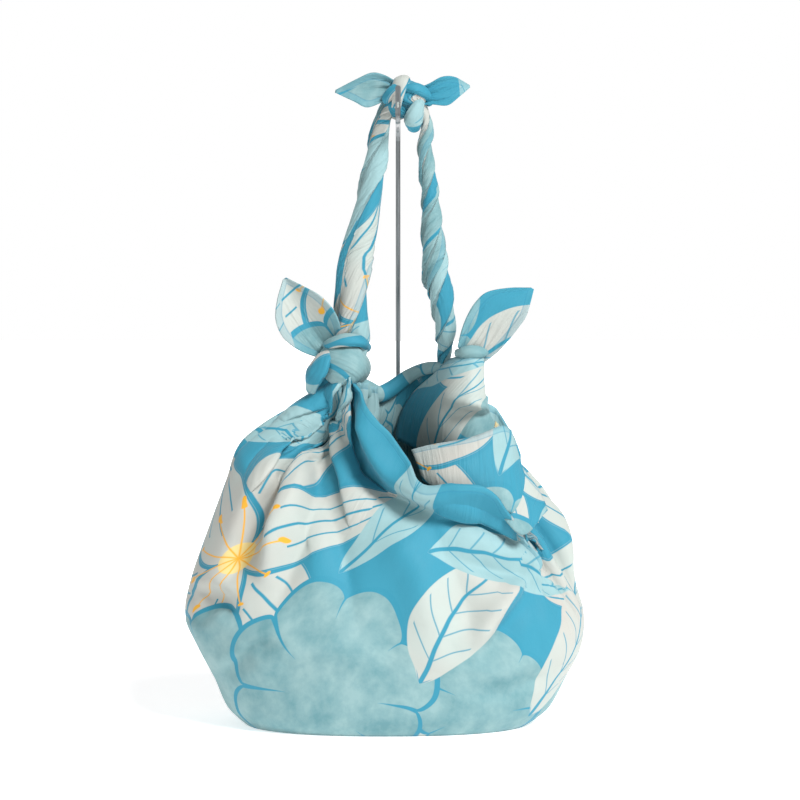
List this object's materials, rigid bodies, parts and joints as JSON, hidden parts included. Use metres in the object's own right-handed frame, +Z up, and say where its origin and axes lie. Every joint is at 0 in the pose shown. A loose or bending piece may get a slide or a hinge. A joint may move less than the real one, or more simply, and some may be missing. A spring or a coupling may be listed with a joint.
{
  "type": "furoshiki bag hung on a rod stand",
  "caption": "Square printed cloth tied at three knots into a shoulder bag, its handle knot resting on a steel rod stand.",
  "frame": {"origin": "on the surface the bag stands on, under the middle of the bag's flat bottom", "axes": "+X to the right knot's side, -Y out of the mouth's low front side, +Z up"},
  "size_m": [0.4022, 0.2965, 0.6495],
  "materials": {
    "cloth": "printed plain weave, soft sateen sheen",
    "rod": "satin"
  },
  "bodies": {
    "root": {"cloth": "cloth", "stand_rod": "rod", "stand_foot": "rod"}
  },
  "joints": []
}
